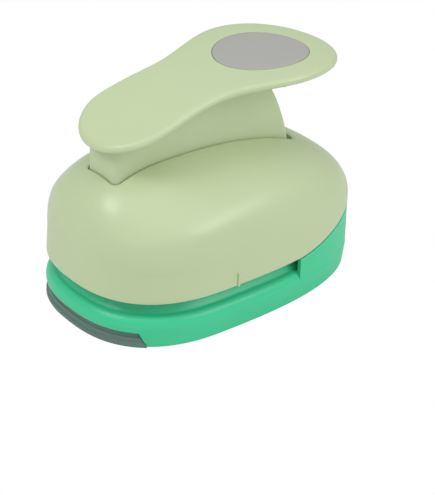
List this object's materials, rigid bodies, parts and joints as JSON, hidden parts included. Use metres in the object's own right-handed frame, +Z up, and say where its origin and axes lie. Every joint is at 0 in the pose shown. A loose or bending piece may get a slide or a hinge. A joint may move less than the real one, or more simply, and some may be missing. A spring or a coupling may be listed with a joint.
{
  "type": "craft punch",
  "caption": "Hand lever craft punch: egg-shaped base and domed shell, open throat, arched lever on a front pivot, round punch on sprung guide posts.",
  "frame": {"origin": "Middle of the bounding box in plan, on the surface that the punch stands on.", "axes": "+Z up, +X along the punch from the pivot end to the pad end, -Y the side that the picture shows."},
  "size_m": [0.1626, 0.1022, 0.117],
  "materials": {
    "mint_plastic": "satin gloss, pale mint green",
    "teal_plastic": "gloss, teal green",
    "smoke_plastic": "gloss, smoky grey green",
    "badge_grey": "matt, plain grey",
    "block_plastic": "matt, off-white",
    "steel": "ground",
    "zinc": "zinc plated",
    "spring_steel": "bright drawn",
    "rubber": "matt, black"
  },
  "bodies": {
    "body": {"base": "teal_plastic", "bottom_cover": "smoke_plastic", "top_shell": "mint_plastic", "die_plate": "steel", "spacer_plate": "zinc", "guide_plate": "steel", "guide_post_1": "steel", "guide_post_2": "steel", "guide_post_3": "steel", "guide_post_4": "steel", "return_spring_1": "spring_steel", "return_spring_2": "spring_steel", "return_spring_3": "spring_steel", "return_spring_4": "spring_steel", "pivot_bracket": "zinc", "pivot_pin": "steel", "pin_clip": "spring_steel", "die_screw_1": "zinc", "die_screw_2": "zinc", "die_screw_3": "zinc", "die_screw_4": "zinc", "front_shell_screw_1": "zinc", "front_shell_screw_2": "zinc", "back_shell_screw_1": "zinc", "back_shell_screw_2": "zinc", "cover_screw_1": "zinc", "cover_screw_2": "zinc", "cover_screw_3": "zinc", "cover_screw_4": "zinc", "rubber_foot_1": "rubber", "rubber_foot_2": "rubber", "rubber_foot_3": "rubber", "rubber_foot_4": "rubber"},
    "lever": {"handle_lever": "mint_plastic", "handle_badge": "badge_grey"},
    "plunger": {"male_punch": "steel", "press_block": "block_plastic", "wear_plate": "zinc", "punch_screw_1": "zinc", "punch_screw_2": "zinc", "punch_screw_3": "zinc", "punch_screw_4": "zinc"}
  },
  "joints": [
    {"name": "lever_hinge", "type": "hinge", "parent": "body", "child": "lever", "pos_m": [-0.0575, 0, 0.046], "axis": [0, 1, 0], "range_deg": [0, 10], "stiffness_Nm_per_rad": 3.2, "springref_deg": -2.29},
    {"name": "plunger_slide", "type": "slide", "parent": "body", "child": "plunger", "axis": [0, 0, -1], "range_m": [0, 0.00703], "stiffness_N_per_m": 5, "springref_m": -0.29, "deforming": ["return_spring_1", "return_spring_2", "return_spring_3", "return_spring_4"]}
  ],
  "couplings": [
    {"joint": "plunger_slide", "follows": "lever_hinge", "m_per_rad": 0.0402}
  ]
}
